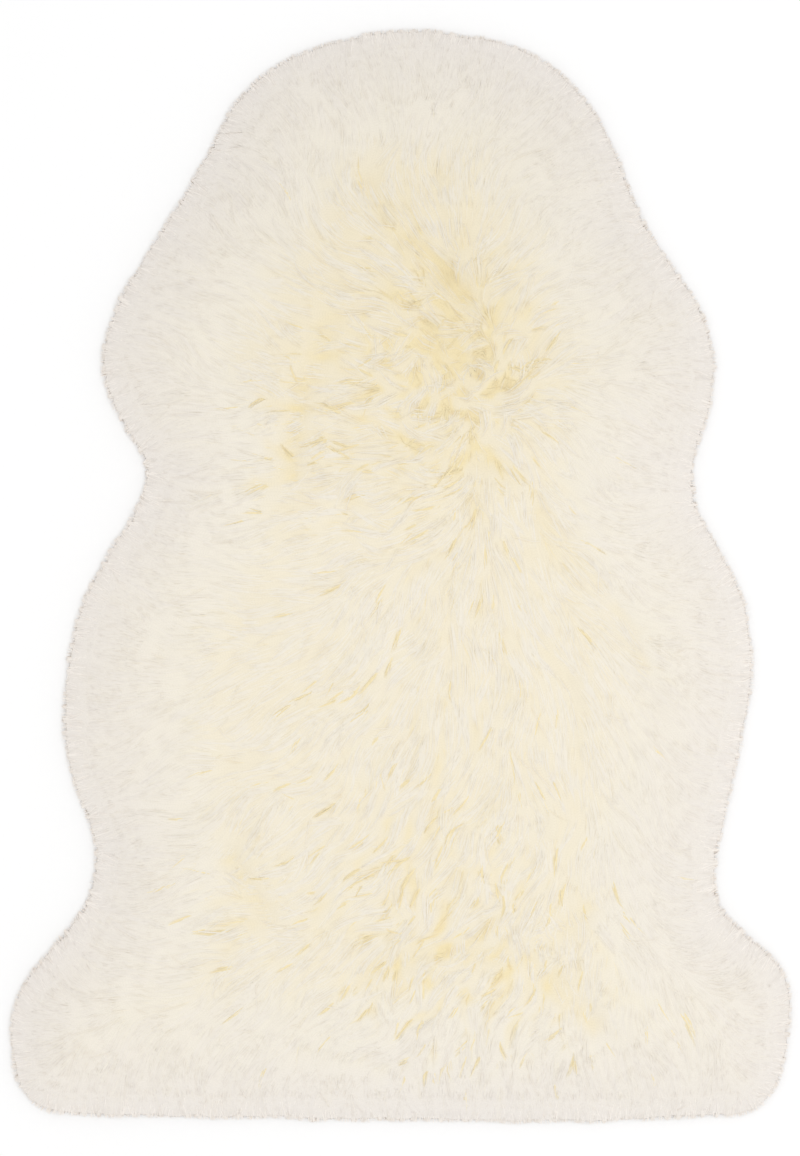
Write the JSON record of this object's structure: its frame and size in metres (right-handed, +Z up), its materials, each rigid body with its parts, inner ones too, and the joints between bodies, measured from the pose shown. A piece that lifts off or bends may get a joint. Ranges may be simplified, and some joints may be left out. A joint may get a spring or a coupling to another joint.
{
  "type": "sheepskin rug",
  "caption": "Sheepskin rug lying flat, with long combed cream wool on a tanned hide and the natural neck, waist and hind-leg outline of a pelt.",
  "frame": {"origin": "on the floor, under the middle of the rug's length and width", "axes": "+Y from the tail to the neck, +X to the right of the back seen from above, +Z up out of the wool"},
  "size_m": [0.6768, 0.9485, 0.0497],
  "materials": {
    "wool": "long fine combed wool, cream, yellower at its roots and whiter at its tips",
    "suede": "matt sueded flesh side of a tanned skin"
  },
  "bodies": {
    "root": {"fleece": "wool", "hide": "suede"}
  },
  "joints": []
}
